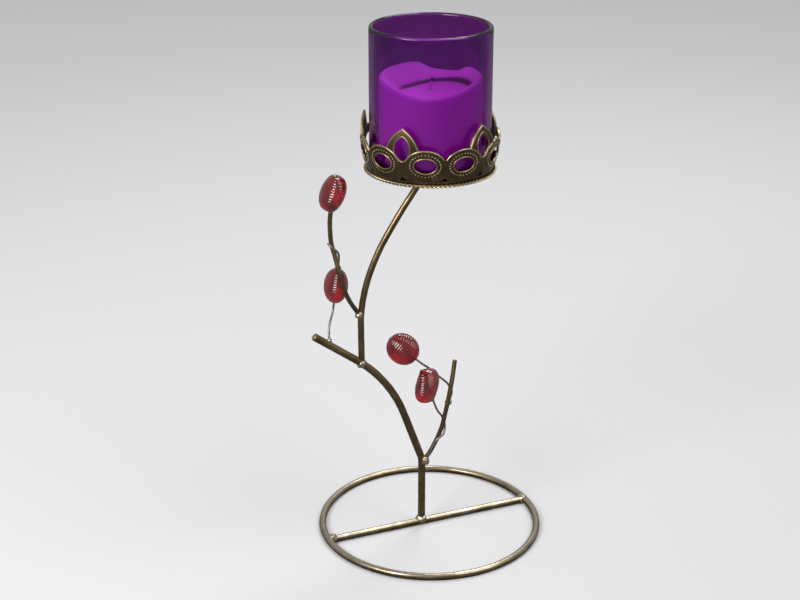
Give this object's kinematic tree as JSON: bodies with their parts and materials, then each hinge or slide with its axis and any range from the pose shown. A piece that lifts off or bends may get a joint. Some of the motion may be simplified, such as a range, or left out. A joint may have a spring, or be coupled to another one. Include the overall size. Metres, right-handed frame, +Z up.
{
  "type": "votive candle holder",
  "caption": "Wire-work candle holder: rod ring foot, leaning branch stem with beaded twigs, and a pierced cup that carries a lift-out coloured glass with a candle.",
  "frame": {"origin": "centre of the base ring, on the surface that the holder stands on", "axes": "+X along the crossbar, +Y away from the front, +Z up"},
  "size_m": [0.1338, 0.128, 0.2925],
  "materials": {
    "bronze_rod": "antique bronze, satin",
    "bronze_twig": "antique bronze, satin",
    "weld_metal": "antique bronze, rough",
    "cup_bronze": "antique bronze, rubbed",
    "red_bead": "translucent, ribbed",
    "purple_glass": "gloss",
    "candle_wax": "waxy, translucent",
    "wick_cotton": "braided, charred tip",
    "tinned_steel": "satin"
  },
  "bodies": {
    "stand": {"base_ring": "bronze_rod", "crossbar": "bronze_rod", "lower_stem": "bronze_rod", "upper_stem": "bronze_rod", "left_twig": "bronze_twig", "right_twig": "bronze_twig", "tip_tendril": "bronze_twig", "low_tendril": "bronze_twig", "high_tendril": "bronze_twig", "crossbar_end_welds": "weld_metal", "stem_foot_weld": "weld_metal", "stem_joint_weld": "weld_metal", "plate_weld": "weld_metal", "left_twig_weld": "weld_metal", "right_twig_weld": "weld_metal", "tip_tendril_weld": "weld_metal", "high_tendril_solder": "weld_metal", "cup_plate": "cup_bronze", "gallery_collar": "cup_bronze", "rope_rim": "cup_bronze", "top_left_bead": "red_bead", "low_left_bead": "red_bead", "high_right_bead": "red_bead", "low_right_bead": "red_bead"},
    "glass": {"votive_glass": "purple_glass"},
    "candle": {"candle_wax": "candle_wax", "candle_wick": "wick_cotton", "wick_sustainer": "tinned_steel"}
  },
  "joints": [
    {"name": "glass_lift", "type": "slide", "parent": "stand", "child": "glass", "axis": [0, 0, 1], "range_m": [0, 0.04]},
    {"name": "candle_lift", "type": "slide", "parent": "glass", "child": "candle", "axis": [0, 0, 1], "range_m": [0, 0.08]}
  ]
}
